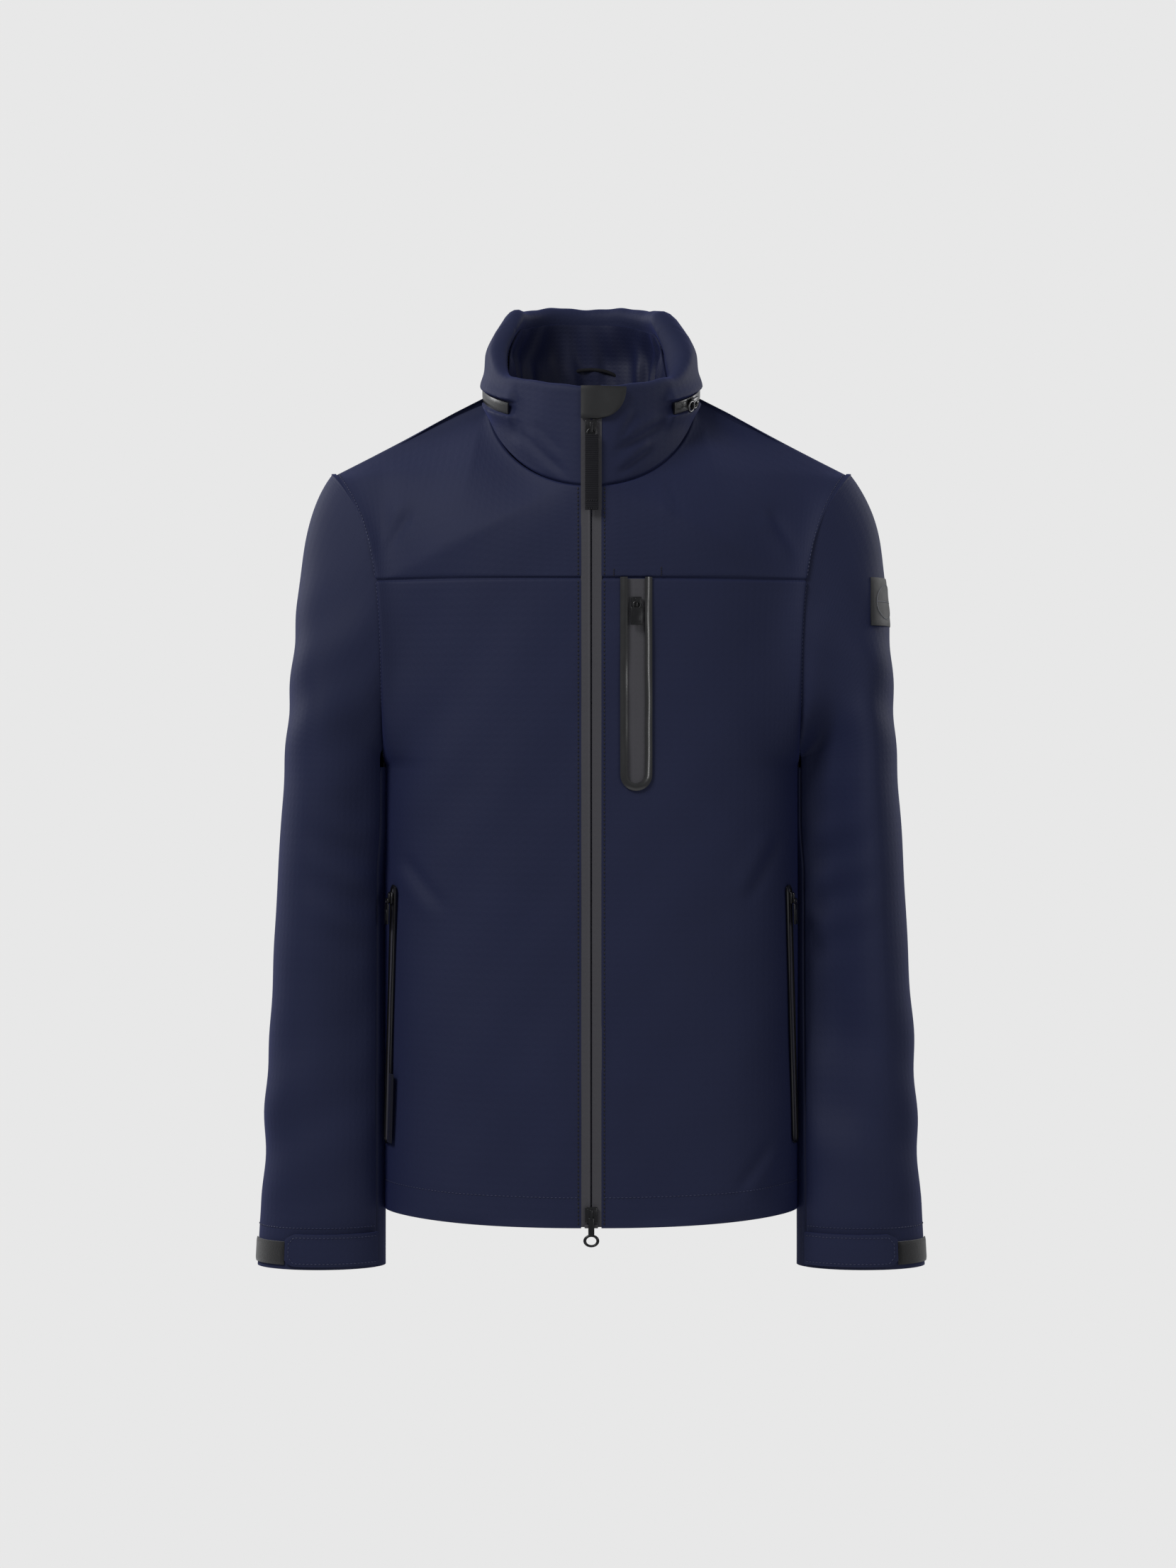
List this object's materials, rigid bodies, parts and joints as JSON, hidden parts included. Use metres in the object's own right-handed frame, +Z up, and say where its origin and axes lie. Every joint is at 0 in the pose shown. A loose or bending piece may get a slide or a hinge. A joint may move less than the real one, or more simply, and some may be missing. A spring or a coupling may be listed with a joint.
{
  "type": "foul weather jacket",
  "caption": "Hip-length sailing jacket with a tall collar that stows its hood, two-way front zip, zipped chest and hand pockets, and adjustable cuffs.",
  "frame": {"origin": "under the arch of the hanger loop inside the back of the neck, where a hook holds the jacket", "axes": "+Z up, the front faces -Y, +X is the wearer's left"},
  "size_m": [0.588, 0.2165, 0.8431],
  "materials": {
    "shell_cloth": "deep navy softshell, fine plain weave, soft sheen",
    "lining_cloth": "dark navy brushed lining",
    "laminated_tape": "matte black laminated zip tape",
    "gloss_film": "glossy black welded film",
    "black_metal": "black enamelled die cast",
    "webbing": "black woven webbing",
    "hook_and_loop": "matte black hook and loop",
    "badge_rubber": "matte black moulded badge"
  },
  "bodies": {
    "jacket": {"back_panel": "shell_cloth", "back_yoke": "shell_cloth", "chest_pocket_bag": "lining_cloth", "chest_pocket_frame": "gloss_film", "chest_zip_tape": "laminated_tape", "collar_back": "shell_cloth", "collar_front_left": "shell_cloth", "collar_front_right": "shell_cloth", "collar_lining": "lining_cloth", "collar_zip_tape": "laminated_tape", "cuff_band_left": "shell_cloth", "cuff_band_right": "shell_cloth", "cuff_loop_left": "hook_and_loop", "cuff_loop_right": "hook_and_loop", "front_panel_left": "shell_cloth", "front_panel_right": "shell_cloth", "front_yoke_left": "shell_cloth", "front_yoke_right": "shell_cloth", "hand_pocket_bag_left": "lining_cloth", "hand_pocket_bag_right": "lining_cloth", "hand_pocket_frame_left": "gloss_film", "hand_pocket_frame_right": "gloss_film", "hand_zip_tape_left": "laminated_tape", "hand_zip_tape_right": "laminated_tape", "hanger_loop": "webbing", "hem_back": "shell_cloth", "hem_front_left": "shell_cloth", "hem_front_right": "shell_cloth", "main_zip_tape_left": "laminated_tape", "main_zip_tape_right": "laminated_tape", "pocket_tag": "webbing", "sleeve_left": "shell_cloth", "sleeve_patch": "badge_rubber", "sleeve_right": "shell_cloth", "sleeve_under_left": "shell_cloth", "sleeve_under_right": "shell_cloth", "storm_flap": "lining_cloth", "stowed_hood": "shell_cloth", "zip_garage": "laminated_tape", "zip_pin_box": "laminated_tape"},
    "main_slider": {"main_zip_slider": "black_metal"},
    "main_pull": {"main_zip_pull": "webbing"},
    "lower_slider": {"lower_zip_slider": "black_metal"},
    "lower_ring": {"lower_zip_ring": "black_metal"},
    "chest_slider": {"chest_zip_slider": "black_metal"},
    "chest_pull": {"chest_zip_pull": "black_metal"},
    "hand_slider_left": {"hand_zip_slider_left": "black_metal"},
    "hand_pull_left": {"hand_zip_pull_left": "black_metal"},
    "hand_slider_right": {"hand_zip_slider_right": "black_metal"},
    "hand_pull_right": {"hand_zip_pull_right": "black_metal"},
    "collar_slider": {"collar_zip_slider": "black_metal"},
    "collar_pull": {"collar_zip_pull": "black_metal"},
    "tab_left": {"cuff_tab_left": "shell_cloth", "cuff_hook_left": "hook_and_loop"},
    "tab_right": {"cuff_tab_right": "shell_cloth", "cuff_hook_right": "hook_and_loop"}
  },
  "joints": [
    {"name": "main_zip_slide", "type": "slide", "parent": "jacket", "child": "main_slider", "axis": [0, 0, 1], "range_m": [-0.49, 0]},
    {"name": "main_pull_swing", "type": "hinge", "parent": "main_slider", "child": "main_pull", "pos_m": [0, -0.1699, -0.0674], "axis": [-1, 0, 0], "range_deg": [0, 110]},
    {"name": "lower_zip_slide", "type": "slide", "parent": "jacket", "child": "lower_slider", "axis": [0, 0, 1], "range_m": [0, 0.1]},
    {"name": "lower_ring_swing", "type": "hinge", "parent": "lower_slider", "child": "lower_ring", "pos_m": [0, -0.1699, -0.7339], "axis": [-1, 0, 0], "range_deg": [0, 110]},
    {"name": "chest_zip_slide", "type": "slide", "parent": "jacket", "child": "chest_slider", "axis": [0, 0, 1], "range_m": [-0.137, 0]},
    {"name": "chest_pull_swing", "type": "hinge", "parent": "chest_slider", "child": "chest_pull", "pos_m": [0.03819, -0.17198, -0.21433], "axis": [-0.9996, -0.0274, 0], "range_deg": [0, 110]},
    {"name": "hand_zip_slide_left", "type": "slide", "parent": "jacket", "child": "hand_slider_left", "axis": [-0.0288, -0.0577, 0.9979], "range_m": [-0.195, 0]},
    {"name": "hand_pull_swing_left", "type": "hinge", "parent": "hand_slider_left", "child": "hand_pull_left", "pos_m": [0.1766, -0.11022, -0.46597], "axis": [-0.4412, -0.8951, -0.0645], "range_deg": [0, 60]},
    {"name": "hand_zip_slide_right", "type": "slide", "parent": "jacket", "child": "hand_slider_right", "axis": [0.0288, -0.0577, 0.9979], "range_m": [-0.195, 0]},
    {"name": "hand_pull_swing_right", "type": "hinge", "parent": "hand_slider_right", "child": "hand_pull_right", "pos_m": [-0.1766, -0.11022, -0.46597], "axis": [-0.4412, 0.8951, 0.0645], "range_deg": [0, 60]},
    {"name": "collar_zip_slide", "type": "hinge", "parent": "jacket", "child": "collar_slider", "pos_m": [0, -0.0649, -0.0169], "axis": [0, -0.3176, 0.9482], "range_deg": [0, 235]},
    {"name": "collar_pull_swing", "type": "hinge", "parent": "collar_slider", "child": "collar_pull", "pos_m": [0.09152, -0.10598, -0.03066], "axis": [0, -0.3176, 0.9482], "range_deg": [0, 90]},
    {"name": "cuff_tab_open_left", "type": "hinge", "parent": "jacket", "child": "tab_left", "pos_m": [0.18806, -0.09705, -0.76944], "axis": [0, 0, -1], "range_deg": [0, 55]},
    {"name": "cuff_tab_open_right", "type": "hinge", "parent": "jacket", "child": "tab_right", "pos_m": [-0.18806, -0.09705, -0.76944], "axis": [0, 0, 1], "range_deg": [0, 55]}
  ]
}
